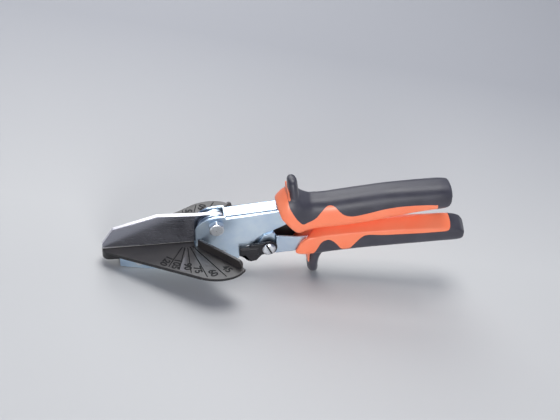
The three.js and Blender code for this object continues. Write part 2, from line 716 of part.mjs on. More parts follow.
function latchPieces() {
  const near = -(frameHalfWidth + fitGap);
  const far = near - latchThickness;
  const bar = outline(latchShares.map(([along, down]) =>
    [latchBack - along * latchLength, -latchDrop - down * latchDepth]));
  let catchPlate = plate(bar, far, near);
  catchPlate = catchPlate.add(rod(latchEye, latchBack, -latchDrop, far, -leverRearHalf - fitGap));
  catchPlate = catchPlate.add(rod(latchBoss + joggleLength / 2, latchBack, -latchDrop, far, near));
  const ridge = block([latchBack - latchLength * 0.97, far - latchRidge, -latchDrop - latchDepth * 0.4],
    [latchBack - latchLength * 0.35, far + overrun / 2, -latchDrop + latchDepth * 0.08]);
  catchPlate = catchPlate.add(ridge);
  catchPlate = catchPlate.add(rod(latchBoss, latchBack, -latchDrop, near - overrun / 2,
    -leverMidHalf - fitGap));
  catchPlate = catchPlate.subtract(rod(screwRadius + pinClearance, latchBack, -latchDrop,
    far - overrun, 0, smallSides));
  const nutInner = -leverMidHalf + leverSheet + fitGap;
  const headBase = far - fitGap;
  let screw = turned([
    [0, nutInner + latchNutHeight - fitGap], [screwRadius, nutInner + latchNutHeight - fitGap],
    [screwRadius, headBase], [screwHeadRadius, headBase],
    [screwHeadRadius, headBase - screwHeadHeight * 0.5],
    [screwHeadRadius * 0.75, headBase - screwHeadHeight * 0.9], [0, headBase - screwHeadHeight],
  ], latchBack, -latchDrop);
  const slot = block([-screwHeadRadius, headBase - screwHeadHeight - overrun, -slotWidth / 2],
    [screwHeadRadius, headBase - screwHeadHeight + slotDepth, slotWidth / 2])
    .rotate([0, 65, 0]).translate([latchBack, 0, -latchDrop]);
  screw = screw.subtract(slot);
  const bore = rod(screwRadius + pinClearance, latchBack, -latchDrop, nutInner - overrun,
    leverMidHalf, smallSides);
  const nut = rod(latchNutRadius, latchBack, -latchDrop, nutInner, nutInner + latchNutHeight, 6)
    .subtract(bore);
  return {
    latch: piece('latch', catchPlate, latchPlastic),
    screw: piece('latch_screw', screw, brightSteel),
    nut: piece('latch_nut', nut, brightSteel),
  };
}

// Handles. A station is the section's top and bottom place along and height, its half width, and
// how far its middle bows forward. Each is a share of the handle's length, height or half width.
const upperStationShares = [
  [0, 0.736, 0.125, -0.325, 0.82, 0.07], [0.025, 0.87, 0.135, -0.37, 1.02, 0.07],
  [0.055, 1, 0.147, -0.385, 1.1, 0.06], [0.085, 1.04, 0.158, -0.375, 1.09, 0.045],
  [0.125, 0.98, 0.172, -0.355, 1.04, 0.03], [0.155, 0.87, 0.19, -0.33, 0.99, 0.01],
  [0.205, 0.765, 0.225, -0.29, 0.965, 0], [0.28, 0.755, 0.28, -0.265, 0.98, 0],
  [0.37, 0.8, 0.37, -0.25, 1, 0], [0.5, 0.87, 0.5, -0.2, 1, 0], [0.65, 0.935, 0.65, -0.09, 1, 0],
  [0.8, 0.945, 0.8, 0.03, 1, 0], [0.92, 0.94, 0.92, 0.09, 0.99, 0], [0.965, 0.92, 0.965, 0.115, 0.96, 0],
  [0.988, 0.85, 0.988, 0.17, 0.88, 0], [1, 0.7, 1, 0.3, 0.68, 0],
];
const lowerStationShares = [
  [0.062, 0.175, 0.02, -0.76, 1.1, 0.275], [0.075, 0.2, 0.035, -0.79, 1.17, 0.27],
  [0.1, 0.22, 0.07, -0.82, 1.2, 0.22], [0.15, 0.24, 0.13, -0.82, 1.12, 0.13],
  [0.21, 0.25, 0.2, -0.81, 1.04, 0.05], [0.3, 0.27, 0.3, -0.79, 1, 0], [0.45, 0.285, 0.45, -0.77, 1, 0],
  [0.65, 0.3, 0.65, -0.77, 1, 0], [0.85, 0.31, 0.85, -0.77, 1, 0], [0.92, 0.24, 0.92, -0.77, 0.99, 0],
  [0.955, 0.16, 0.96, -0.76, 0.97, 0], [0.985, -0.05, 0.985, -0.71, 0.88, 0],
  [0.995, -0.3, 0.995, -0.55, 0.62, 0],
];
const upperSquareness = 2.5;
const lowerSquareness = 3.2;

function handleSolid(shares, front, length, height, half, level, squareness, inset) {
  const shorter = length - 2 * inset;
  const rings = shares.map(([topAlong, topShare, lowAlong, lowShare, wide, bow]) => {
    const top = new THREE.Vector3(front + inset + topAlong * shorter, 0, level + topShare * height);
    const low = new THREE.Vector3(front + inset + lowAlong * shorter, 0, level + lowShare * height);
    const middle = top.clone().add(low).multiplyScalar(0.5);
    const rise = top.clone().sub(middle);
    rise.setLength(rise.length() - inset);
    const reach = wide * half - inset;
    return Array.from({ length: handleSides }, (_, k) => {
      const turn = (2 * Math.PI * k) / handleSides;
      const [cos, sin] = [Math.cos(turn), Math.sin(turn)];
      const up = Math.sign(cos) * Math.abs(cos) ** (2 / squareness);
      const side = Math.sign(sin) * Math.abs(sin) ** (2 / squareness);
      const ahead = bow * height * (1 - up ** 4);
      return middle.clone().addScaledVector(rise, up).add(new THREE.Vector3(-ahead, side * reach, 0));
    });
  });
  return loft(rings);
}

// Guard that stops the thumb or finger: stations of height, front, back and half width, as shares
const upperGuardShares = [
  [-0.8, 0.1, 1.75, 1.1], [-0.3, 0.07, 1.7, 1.1], [0, 0.09, 1.43, 1.07], [0.25, 0.07, 1.22, 1.02],
  [0.5, 0.05, 1.12, 0.95], [0.8, 0, 1, 0.8], [0.93, 0.07, 0.9, 0.6], [1, 0.28, 0.66, 0.3],
];
const lowerGuardShares = [
  [-0.35, 0.5, 4.1, 1], [0, 0.4, 3.1, 1], [0.3, 0.42, 2.45, 0.97], [0.6, 0.6, 2.2, 0.86],
  [0.85, 0.95, 2.13, 0.62], [1, 1.35, 2, 0.3],
];

function guard(shares, front, base, rise, depth) {
  const rings = shares.map(([up, near, far, wide]) => {
    const [low, high] = [front + near * depth, front + far * depth];
    return Array.from({ length: smallSides }, (_, k) => {
      const turn = (2 * Math.PI * k) / smallSides;
      return new THREE.Vector3((low + high) / 2 + ((high - low) / 2) * Math.cos(turn),
        wide * guardHalfWidth * Math.sin(turn), base + up * rise);
    });
  });
  return loft(rings, (point) => new THREE.Vector2(point.x, point.y));
}

// Hard layer in front of a guard, between two heights
function guardFace(shape, low, high) {
  return shape.translate([-guardFaceThickness, 0, 0])
    .subtract(shape.translate([-gripSeam, 0, 0]))
    .intersect(block([0, -upperHalfWidth, low], [handleReach, upperHalfWidth, high]));
}

// Border between the soft grip and the hard handle, as shares of the handle's length and height
const upperBorderShares = [
  [0.068, 1.13], [0.068, 0.81], [0.09, 0.549], [0.117, 0.316], [0.148, 0.136], [0.174, 0.161],
  [0.215, 0.267], [0.248, 0.467], [0.277, 0.606], [0.302, 0.638], [0.327, 0.593], [0.355, 0.442],
  [0.383, 0.324], [0.431, 0.263], [0.506, 0.32], [0.606, 0.426], [0.706, 0.471], [0.808, 0.463],
  [0.89, 0.422], [0.912, 0.316], [0.916, -0.6],
];
const lowerBorderShares = [
  [0.072, -0.9], [0.092, -0.71], [0.113, -0.445], [0.133, -0.21], [0.155, -0.12], [0.182, -0.11],
  [0.209, -0.225], [0.233, -0.4], [0.25, -0.6], [0.266, -0.72], [0.308, -0.72], [0.324, -0.5],
  [0.349, -0.28], [0.373, -0.13], [0.408, -0.05], [0.504, -0.115], [0.61, -0.145], [0.717, -0.175],
  [0.823, -0.185], [0.877, -0.175], [0.895, -0.08], [0.9, 0.05], [0.896, 0.225], [0.88, 0.475],
  [0.864, 0.775],
];

// Region on the grip's side of the border, drawn back from it by the seam
function borderRegion(shares, front, length, height, level, far, seam) {
  const places = shares.map(([along, up]) => [front + along * length, level + up * height]);
  const side = Math.sign(far);
  const points = places.map(([x, z], k) => {
    const before = places[Math.max(k - 1, 0)];
    const after = places[Math.min(k + 1, places.length - 1)];
    const [dx, dz] = [after[0] - before[0], after[1] - before[1]];
    const shift = (side * seam) / Math.hypot(dx, dz);
    return [x - dz * shift, z + dx * shift];
  });
  const last = points[points.length - 1];
  points.push([Math.abs(far), last[1]], [Math.abs(far), far], [points[0][0], far]);
  return plate(outline(points), -frameHalfWidth * 4, frameHalfWidth * 4);
}

function upperHandle() {
  const length = handleReach * 0.932 - upperFront;
  const level = pivotHeight * 0.76;
  const whole = (inset) => handleSolid(upperStationShares, upperFront, length, upperHeight,
    upperHalfWidth, level, upperSquareness, inset);
  const region = (seam) => borderRegion(upperBorderShares, upperFront, length, upperHeight,
    level, handleReach, seam);
  const base = level + upperHeight * 0.85;
  const rise = guard(upperGuardShares, thumbGuardFront, base, guardRise, guardDepth);
  const pocket = channelPocket(webStations.slice(1).map(([x, top, bottom]) =>
    [x, top, bottom, frameHalfWidth]), sheetThickness, bendRadius);
  const pinHalf = frameHalfWidth + gripWall / 2;
  const hole = rod(tangPinRadius + pinClearance, tangPinBack, tangHeight - tangDepth / 2,
    -pinHalf - fitGap, pinHalf + fitGap, smallSides);
  const outer = whole(0);
  const hard = outer.subtract(region(gripSeam));
  const face = guardFace(rise, base - guardRise / 2, base + guardRise * 0.65);
  const core = outer.add(face).subtract(region(gripSeam / 10))
    .add(whole(gripWall)).subtract(pocket).subtract(hole);
  const grip = outer.intersect(region(gripSeam)).add(rise.subtract(hard))
    .subtract(whole(gripWall - gripSeam)).subtract(pocket).subtract(hole);
  return {
    core: piece('upper_handle_core', core, orangePlastic),
    grip: piece('upper_grip', grip, softGrip),
    pin: pin('upper_tang_pin', tangPinRadius, tangPinBack, tangHeight - tangDepth / 2,
      pinHalf, 0, brightSteel),
  };
}

function lowerHandle() {
  const length = handleReach - lowerFront;
  const whole = (inset) => handleSolid(lowerStationShares, lowerFront, length, lowerHeight,
    lowerHalfWidth, 0, lowerSquareness, inset);
  const region = (seam) => borderRegion(lowerBorderShares, lowerFront, length, lowerHeight,
    0, -handleReach - overrun, seam);
  const base = -lowerHeight * 0.78;
  const drop = guard(lowerGuardShares, fingerGuardFront, base, -guardDrop, fingerGuardDepth);
  const pocket = channelPocket(leverStations.slice(4).map(([x, top, bottom, half]) =>
    [x, bottom, top, half]), leverSheet, leverBend);
  const pinHalf = leverTangHalf + gripWall / 2;
  const hole = rod(tangPinRadius + pinClearance, tangPinBack, -leverDepth / 2,
    -pinHalf - fitGap, pinHalf + fitGap, smallSides);
  const outer = whole(0);
  const hard = outer.subtract(region(gripSeam));
  const face = guardFace(drop, base - guardDrop * 0.45, base + guardDrop / 5);
  const core = outer.add(face).subtract(region(gripSeam / 10))
    .add(whole(gripWall / 2)).subtract(pocket).subtract(hole);
  const grip = outer.intersect(region(gripSeam)).add(drop.subtract(hard))
    .subtract(whole(gripWall / 2 - gripSeam)).subtract(pocket).subtract(hole);
  return {
    core: piece('lower_handle_core', core, orangePlastic),
    grip: piece('lower_grip', grip, softGrip),
    pin: pin('lower_tang_pin', tangPinRadius, tangPinBack, -leverDepth / 2,
      pinHalf, 0, brightSteel),
  };
}

// Assembly
const pivot = pivotPieces();
const spring = springPieces();
const latchSet = latchPieces();
const upper = upperHandle();
const lower = lowerHandle();
const anvilPin = (name, back) => pin(name, anvilPinRadius, -back, -anvilPinDepth,
  frameHalfWidth, rivetHead, brightSteel);

const fixedFrame = new THREE.Group();
fixedFrame.add(
  bodyShell(), anvilTable(), pivot.bolt, pivot.nut, pivot.near, pivot.far,
  anvilPin('anvil_pin_front', anvilPinFront), anvilPin('anvil_pin_rear', anvilPinRear),
  pin('stop_pin', stopPinRadius, ...stopPlace(), frameHalfWidth, 0, brightSteel),
  upper.core, upper.grip, upper.pin,
);

const lever = new THREE.Group();
const [frontRivet, rearRivet] = rivetPlaces();
lever.add(
  leverChannel(), blade(), pivot.sleeve, spring.spring, spring.bush,
  pin('blade_rivet_front', bladeRivetRadius, ...frontRivet, leverFrontHalf, 0, brightSteel),
  pin('blade_rivet_rear', bladeRivetRadius, ...rearRivet, leverFrontHalf, 0, brightSteel),
  lower.core, lower.grip, lower.pin, latchSet.screw, latchSet.nut,
);

const latchGroup = new THREE.Group();
latchGroup.add(latchSet.latch);

// The tool stands on the front arms and the lower guard
const tool = new THREE.Group();
tool.add(fixedFrame, lever, latchGroup);
const guardFoot = new THREE.Box3().setFromObject(lower.grip);
const footBack = fingerGuardFront + fingerGuardDepth * 1.7;
const pitch = Math.atan2(-armBottom - guardFoot.min.z, footBack + armFront);
tool.rotation.y = -pitch;

const mitreShears = new THREE.Group();
mitreShears.add(tool);
mitreShears.updateMatrixWorld(true);
const bounds = new THREE.Box3().setFromObject(mitreShears, true);
const middle = bounds.getCenter(new THREE.Vector3());
tool.position.set(-middle.x, -middle.y, -bounds.min.z);

export default mitreShears;
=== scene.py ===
import bmesh
import bpy
import json
import math
from mathutils import Matrix, Vector


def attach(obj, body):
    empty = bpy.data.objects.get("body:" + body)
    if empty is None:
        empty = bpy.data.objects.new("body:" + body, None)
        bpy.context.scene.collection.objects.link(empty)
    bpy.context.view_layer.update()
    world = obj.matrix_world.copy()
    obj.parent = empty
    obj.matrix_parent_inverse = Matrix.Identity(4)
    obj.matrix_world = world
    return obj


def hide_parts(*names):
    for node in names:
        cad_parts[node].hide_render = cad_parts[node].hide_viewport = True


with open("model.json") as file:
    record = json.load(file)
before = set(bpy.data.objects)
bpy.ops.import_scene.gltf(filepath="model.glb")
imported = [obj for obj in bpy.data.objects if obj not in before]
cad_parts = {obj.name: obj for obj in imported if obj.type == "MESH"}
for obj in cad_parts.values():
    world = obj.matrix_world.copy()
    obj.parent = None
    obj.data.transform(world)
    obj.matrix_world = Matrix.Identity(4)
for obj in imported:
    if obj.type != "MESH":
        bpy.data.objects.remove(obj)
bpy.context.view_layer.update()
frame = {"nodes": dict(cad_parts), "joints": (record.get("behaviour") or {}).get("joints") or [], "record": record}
mm = 0.001

# The tool's own frame: x along the cutting edge, z up from the table, zero where the scale's lines meet.
# The tool stands pitched on its front arms and lower guard, and its pivot ties the two frames together.
tool = {"pitch": 9.962, "pivotBack": 19.8, "pivotHeight": 16.4}
pitchTurn = Matrix.Rotation(-math.radians(tool["pitch"]), 4, "Y")
pivotPlace = Vector(next(j for j in frame["joints"] if j["name"] == "lever_pivot")["pos_m"])
toolToRow = (Matrix.Translation(pivotPlace) @ pitchTurn @ Matrix.Scale(mm, 4)
             @ Matrix.Translation((-tool["pivotBack"], 0, -tool["pivotHeight"])))
print("frame loaded")


def linearColour(hexText):  # sRGB hex to the linear values that shaders take
    parts = [int(hexText[k:k + 2], 16) / 255 for k in (0, 2, 4)]
    return [p / 12.92 if p <= 0.04045 else ((p + 0.055) / 1.055) ** 2.4 for p in parts] + [1.0]


def addNode(tree, kind, settings=None, links=None):  # one node with its values and what feeds it
    node = tree.nodes.new(kind)
    for name, value in (settings or {}).items():
        if name == "stops":
            ends = node.color_ramp.elements
            for element, (place, colour) in zip(ends, value):
                element.position, element.color = place, linearColour(colour)
        elif name in node.inputs:
            node.inputs[name].default_value = value
        else:
            setattr(node, name, value)
    for name, source in (links or {}).items():
        tree.links.new(source, node.inputs[name])
    return node


def newMaterial(name, colour, metallic, roughness, **more):
    material = bpy.data.materials.new(name)
    material.use_nodes = True
    shader = material.node_tree.nodes["Principled BSDF"]
    shader.inputs["Base Color"].default_value = linearColour(colour)
    shader.inputs["Metallic"].default_value = metallic
    shader.inputs["Roughness"].default_value = roughness
    for name, value in more.items():
        shader.inputs[name.replace("_", " ")].default_value = value
    return material, material.node_tree, shader


# Camera: fitted to the photograph in the tool's frame, then carried to the row's frame
camera = {"azimuth": -9.99, "elevation": 39.21, "roll": 1.75, "distance": 800,
          "target": (64.6, 0, 20.8), "pixelsPerMm": 1.46, "imageWidth": 560, "sensor": 36}


def makeCamera():
    turn, rise, roll = (math.radians(camera[k]) for k in ("azimuth", "elevation", "roll"))
    right = Vector((math.cos(turn), math.sin(turn), 0))
    back = Vector((math.sin(turn) * math.cos(rise), -math.cos(turn) * math.cos(rise), math.sin(rise)))
    up = back.cross(right)
    axes = (right * math.cos(roll) + up * math.sin(roll), up * math.cos(roll) - right * math.sin(roll), back)
    target = toolToRow @ Vector(camera["target"])
    turned = [pitchTurn.to_3x3() @ axis for axis in axes]
    place = target + turned[2] * camera["distance"] * mm
    data = bpy.data.cameras.new("viewCamera")
    data.sensor_width = camera["sensor"]
    data.lens = camera["pixelsPerMm"] * camera["distance"] / camera["imageWidth"] * camera["sensor"]
    data.clip_start, data.clip_end = 0.01, 100
    view = bpy.data.objects.new("viewCamera", data)
    bpy.context.scene.collection.objects.link(view)
    view.matrix_world = Matrix.Translation(place) @ Matrix(turned).transposed().to_4x4()
    bpy.context.scene.camera = view


makeCamera()
print("camera placed")


# Materials
def patternPlace(tree, stretch=(1, 1, 1)):  # places on the object, turned to lie along the tool
    place = addNode(tree, "ShaderNodeTexCoord")
    turn = (0, math.radians(tool["pitch"]), 0)
    mapping = addNode(tree, "ShaderNodeMapping", {"Rotation": turn, "Scale": stretch},
                      {"Vector": place.outputs["Object"]})
    return mapping.outputs["Vector"]


# Fine bump, sizes in mm. Real grain and tool marks are near 0.1 mm, too fine for the picture, and are drawn coarser.
def grained(tree, shader, size, depth, stretch=(1, 1, 1)):
    noise = addNode(tree, "ShaderNodeTexNoise", {"Scale": 1 / (size * mm), "Detail": 2},
                    {"Vector": patternPlace(tree, stretch)})
    bump = addNode(tree, "ShaderNodeBump", {"Strength": 1, "Distance": depth * mm},
                   {"Height": noise.outputs["Fac"]})
    tree.links.new(bump.outputs["Normal"], shader.inputs["Normal"])
    return noise


def clouded(tree, shader, size, stops):  # slow change of colour, size in mm
    noise = addNode(tree, "ShaderNodeTexNoise", {"Scale": 1 / (size * mm), "Detail": 3},
                    {"Vector": patternPlace(tree)})
    ramp = addNode(tree, "ShaderNodeValToRGB", {"stops": stops}, {"Fac": noise.outputs["Fac"]})
    tree.links.new(ramp.outputs["Color"], shader.inputs["Base Color"])
    return noise


def roughened(tree, shader, source, low, high):  # gloss that changes with a pattern
    limits = {"From Min": 0.3, "From Max": 0.7, "To Min": low, "To Max": high}
    spread = addNode(tree, "ShaderNodeMapRange", limits, {"Value": source.outputs["Fac"]})
    tree.links.new(spread.outputs["Result"], shader.inputs["Roughness"])


def makeZincPlate():  # folded steel, zinc plated and passivated: bright, faintly blue, soft reflections
    material, tree, shader = newMaterial("zincPlatedSteel", "d2e6f8", 1, 0.34)
    cloud = clouded(tree, shader, 14, [(0.3, "c8def4"), (0.7, "deeefa")])
    roughened(tree, shader, cloud, 0.28, 0.38)
    grained(tree, shader, 0.5, 0.012)
    return material


def makePolishedSteel():  # hardened steel, ground and polished along the edge: dark mirror with faint lines
    material, tree, shader = newMaterial("polishedBladeSteel", "999aa3", 1, 0.24)
    lines = grained(tree, shader, 0.45, 0.006, stretch=(0.04, 1, 1))
    roughened(tree, shader, lines, 0.2, 0.28)
    return material


def makeGroundFinishAndHighlight():  # edge and spine as the wheel leaves them: matt steel with lines across; its near-white colour, lighter than the flat, is partly a painted highlight
    material, tree, shader = newMaterial("groundEdgeAndHighlight", "f0edf1", 1, 0.5)
    lines = grained(tree, shader, 0.4, 0.01, stretch=(1, 1, 0.1))
    roughened(tree, shader, lines, 0.45, 0.58)
    return material


def makeBrightSteel():  # turned and plated steel of nut, bolt and pins: bright, fine tool marks
    material, tree, shader = newMaterial("turnedBrightSteel", "f0f4f8", 1, 0.3)
    marks = grained(tree, shader, 0.35, 0.01)
    roughened(tree, shader, marks, 0.26, 0.38)
    return material


def makeShadedInnerSteel():  # inside of the folded lever: dark grey painted shade standing in for the shade inside the channel
    material, tree, shader = newMaterial("paintedShadeInnerSteel", "6a6968", 1, 0.6)
    shadeVariation = clouded(tree, shader, 8, [(0.3, "605f5f"), (0.7, "747372")])
    roughened(tree, shader, shadeVariation, 0.52, 0.66)
    return material


def makeSpringSteel():  # drawn spring wire: dark grey with drawn lines
    material, tree, shader = newMaterial("drawnSpringWire", "6d7076", 1, 0.35)
    clouded(tree, shader, 2.5, [(0.3, "5d6066"), (0.7, "7c8086")])
    grained(tree, shader, 0.3, 0.01)
    return material


def makeBrass():  # turned brass bush: warm, a little dull
    material, tree, shader = newMaterial("turnedBrass", "b5985a", 1, 0.35)
    clouded(tree, shader, 4, [(0.3, "a88b50"), (0.7, "c2a668")])
    grained(tree, shader, 0.3, 0.01)
    return material


def makeAnvilPlastic():  # glass-filled nylon, moulded with a fine spark grain: dark grey, satin
    material, tree, shader = newMaterial("mouldedBlackNylon", "302c2b", 0, 0.38, IOR=1.62)
    cloud = clouded(tree, shader, 9, [(0.3, "2c2929"), (0.7, "35312f")])
    roughened(tree, shader, cloud, 0.34, 0.42)
    grained(tree, shader, 0.45, 0.02)
    return material


def makeShadedAnvilSide():  # the same nylon on sides and underside, painted near black as the shade these faces fall in
    material, tree, shader = newMaterial("paintedShadeBlackNylon", "171617", 0, 0.4, IOR=1.53)
    cloud = clouded(tree, shader, 9, [(0.3, "141314"), (0.7, "1b1a1b")])
    roughened(tree, shader, cloud, 0.36, 0.46)
    grained(tree, shader, 0.45, 0.02)
    return material


def makeInkAndPaintedShade():  # matt black: print of the scale's numbers, and painted shade on the floors of the scale's grooves and of the screw's slot
    material, tree, shader = newMaterial("inkAndPaintedShade", "0a090b", 0, 0.8, IOR=1.5)
    grained(tree, shader, 0.4, 0.02)
    return material


def makeLatchPlastic():  # acetal latch, moulded: black with soft gloss
    material, tree, shader = newMaterial("mouldedBlackAcetal", "1c1b1e", 0, 0.34, IOR=1.48)
    clouded(tree, shader, 5, [(0.3, "19181b"), (0.7, "232226")])
    grained(tree, shader, 0.5, 0.01)
    return material


def makeOrangePlastic():  # polypropylene handle, moulded: bright orange, satin, faint flow marks
    material, tree, shader = newMaterial("mouldedOrangePlastic", "ff8962", 0, 0.34, IOR=1.54)
    cloud = clouded(tree, shader, 18, [(0.3, "ff845c"), (0.7, "ff8f68")])
    roughened(tree, shader, cloud, 0.3, 0.4)
    grained(tree, shader, 0.6, 0.012)
    return material


def makeSoftGrip():  # thermoplastic rubber moulded over the handle: charcoal, fine matt grain
    material, tree, shader = newMaterial("mouldedSoftRubber", "3d3c45", 0, 0.42, IOR=1.5, Sheen_Weight=0.1)
    cloud = clouded(tree, shader, 12, [(0.3, "37363f"), (0.7, "42414a")])
    roughened(tree, shader, cloud, 0.38, 0.48)
    grained(tree, shader, 0.55, 0.03)
    return material


slots = {"zinc_plated_steel": makeZincPlate(), "polished_steel": makePolishedSteel(),
         "bright_steel": makeBrightSteel(), "spring_steel": makeSpringSteel(), "brass": makeBrass(),
         "anvil_plastic": makeAnvilPlastic(), "latch_plastic": makeLatchPlastic(),
         "orange_plastic": makeOrangePlastic(), "soft_grip": makeSoftGrip()}
inkAndPaintedShade = makeInkAndPaintedShade()
shadedAnvilSide = makeShadedAnvilSide()
groundFinishAndHighlight = makeGroundFinishAndHighlight()
shadedInnerSteel = makeShadedInnerSteel()
slotOf = {row["node"]: row["material_slot"] for row in frame["record"]["subparts"]}
for nodeName, slotName in slotOf.items():
    node = frame["nodes"][nodeName]
    node.data.materials.clear()
    node.data.materials.append(slots[slotName])
print("materials made")


# Mesh helpers: a bmesh is shaped in the tool's millimetres and carried to the row's frame at the end
def ringThrough(build, places):  # closed ring of edges through places
    verts = bmesh.ops.create_circle(build, segments=len(places), radius=1)["verts"]
    for vert, place in zip(verts, places):
        vert.co = place
    return list({edge for vert in verts for edge in vert.link_edges})


def loftThrough(rings):  # closed skin through rings of places
    build = bmesh.new()
    loops = [ringThrough(build, ring) for ring in rings]
    for before, after in zip(loops, loops[1:]):
        bmesh.ops.bridge_loops(build, edges=before + after)
    for loop in (loops[0], loops[-1]):
        bmesh.ops.contextual_create(build, geom=loop)
    bmesh.ops.recalc_face_normals(build, faces=build.faces)
    return build


def joined(*builds):  # several meshes in one
    whole = builds[0]
    for build in builds[1:]:
        mesh = bpy.data.meshes.new("part")
        build.to_mesh(mesh)
        build.free()
        whole.from_mesh(mesh)
        bpy.data.meshes.remove(mesh)
    return whole


def looseObject(build):
    mesh = bpy.data.meshes.new("loose")
    build.to_mesh(mesh)
    build.free()
    item = bpy.data.objects.new("loose", mesh)
    bpy.context.scene.collection.objects.link(item)
    return item


def throughModifier(build, kind, other=None, **settings):  # runs a mesh through one modifier and takes the result
    item = looseObject(build)
    modifier = item.modifiers.new(kind, kind)
    for name, value in settings.items():
        setattr(modifier, name, value)
    tools = [item]
    if other:
        modifier.object = looseObject(other)
        tools.append(modifier.object)
    made = bpy.data.meshes.new_from_object(item.evaluated_get(bpy.context.evaluated_depsgraph_get()))
    result = bmesh.new()
    result.from_mesh(made)
    for used in [t.data for t in tools] + [made]:
        bpy.data.meshes.remove(used)
    return result


def smoothTable(rows):  # smooth curve through rows of numbers, by their first column
    gaps = [b[0] - a[0] for a, b in zip(rows, rows[1:])]
    slopes = []
    for column in range(len(rows[0])):
        rises = [(b[column] - a[column]) / gap for a, b, gap in zip(rows, rows[1:], gaps)]
        inner = [0 if a * b <= 0 else 2 * a * b / (a + b) for a, b in zip(rises, rises[1:])]
        slopes.append([rises[0]] + inner + [rises[-1]])

    def at(place):
        k = max([i for i in range(len(gaps)) if rows[i][0] <= place] or [0])
        u = (place - rows[k][0]) / gaps[k]
        return [rows[k][c] * (1 + 2 * u) * (1 - u) ** 2 + slope[k] * gaps[k] * u * (1 - u) ** 2
                + rows[k + 1][c] * u * u * (3 - 2 * u) + slope[k + 1] * gaps[k] * u * u * (u - 1)
                for c, slope in enumerate(slopes)]
    return at


def curveThrough(points, steps):  # rounded line through points of an outline
    path = []
    for k in range(len(points) - 1):
        a, b, c, d = (Vector(points[min(max(k + i, 0), len(points) - 1)]) for i in (-1, 0, 1, 2))
        for step in range(steps):
            u = step / steps
            path.append(tuple(0.5 * (2 * b + (c - a) * u + (2 * a - 5 * b + 4 * c - d) * u * u
                                     + (3 * b - a - 3 * c + d) * u ** 3)))
    return path + [tuple(points[-1])]


def copyOf(nodeName):  # a CAD node as one welded mesh of flat faces
    build = bmesh.new()
    build.from_mesh(frame["nodes"][nodeName].data)
    bmesh.ops.transform(build, matrix=toolToRow.inverted(), verts=build.verts)
    bmesh.ops.remove_doubles(build, verts=build.verts, dist=0.004)
    bmesh.ops.dissolve_degenerate(build, edges=build.edges, dist=0.002)
    bmesh.ops.dissolve_limit(build, angle_limit=math.radians(0.7), verts=build.verts, edges=build.edges)
    return build


def roundEdges(build, width, segments=2, sharp=30, chosen=lambda edge: True):
    edges = [edge for edge in build.edges if edge.is_manifold
             and edge.calc_face_angle(0) > math.radians(sharp) and chosen(edge)]
    bmesh.ops.bevel(build, geom=edges, offset=width, offset_type="OFFSET", affect="EDGES", segments=segments,
                    profile=0.5, material=-1, clamp_overlap=False)


def finishPiece(name, build, body, nodes, materials, sharp=35, even=False, flatTop=False):
    for face in build.faces:
        face.smooth = not flatTop or face.normal.z < 0.999
    bmesh.ops.transform(build, matrix=toolToRow, verts=build.verts)
    mesh = bpy.data.meshes.new(name)
    build.to_mesh(mesh)
    build.free()
    mesh.set_sharp_from_angle(angle=math.radians(sharp))
    for material in materials:
        mesh.materials.append(material)
    item = bpy.data.objects.new(name, mesh)
    bpy.context.scene.collection.objects.link(item)
    if even:
        item.modifiers.new("evenShading", "WEIGHTED_NORMAL").keep_sharp = True
    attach(item, body)
    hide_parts(*nodes)
    return item


# Metal parts and the catch: the CAD shapes with their edges rounded as pressing, plating and moulding leave them.
# Each row is the CAD node, its body and how far its edges are rounded.
steelParts = {
    "bodyShell": ("body_shell", "frame", 0.3),
    "cutterBlade": ("blade", "lever", 0.14),
    "leverChannel": ("lever_channel", "lever", 0.25),
    "pivotNut": ("pivot_nut", "frame", 0.55),
    "pivotBolt": ("pivot_bolt", "frame", 0.3),
    "latchScrew": ("latch_screw", "lever", 0.2),
    "latchCatch": ("latch", "latch", 0.35),
    "washerNear": ("thrust_washer_near", "frame", 0.1),
    "washerFar": ("thrust_washer_far", "frame", 0.1),
    "anvilPinFront": ("anvil_pin_front", "frame", 0.2),
    "anvilPinRear": ("anvil_pin_rear", "frame", 0.2),
    "stopPin": ("stop_pin", "frame", 0.2),
    "upperTangPin": ("upper_tang_pin", "frame", 0.2),
    "lowerTangPin": ("lower_tang_pin", "lever", 0.2),
    "pivotBushing": ("pivot_bushing", "lever", 0.1),
    "springBush": ("spring_bush", "lever", 0.1),
    "rivetFront": ("blade_rivet_front", "lever", 0.15),
    "rivetRear": ("blade_rivet_rear", "lever", 0.15),
    "latchNut": ("latch_nut", "lever", 0.15)}
# The last of the blade's tip stays sharp. Ground strips run along its edge, below a sloping line, and its spine;
# their near-white colour is partly painted highlight.
bladeShape = {"tip": -56.3, "edge": 0.14, "spine": 0.4, "spineFrom": 4, "spineLow": 2,
              "groundX": -57, "groundZ": 1.5, "groundSlope": -0.022, "flank": 0.2}
# Doubler on the lever behind the cheek: arc about the pivot, then its other corners, and the latch's hole
doubler = {"radius": 34.8, "from": -20.5, "to": -41.5, "arcSteps": 16,
           "corners": [(47.2, -7.6), (54, -10.2), (60.4, -10.8), (60.4, 4.9), (59, 6.6)],
           "outside": -6.35, "inside": -4.45, "hole": (56, -5, 3.3), "holeSides": 32, "holeCut": (-9, -3)}
# Floor of the screw's slot, painted black as its shade: its depth below the head, its least area and most corners
screwSlot = {"depth": (0.2, 1.4), "area": 0.5, "corners": 12}


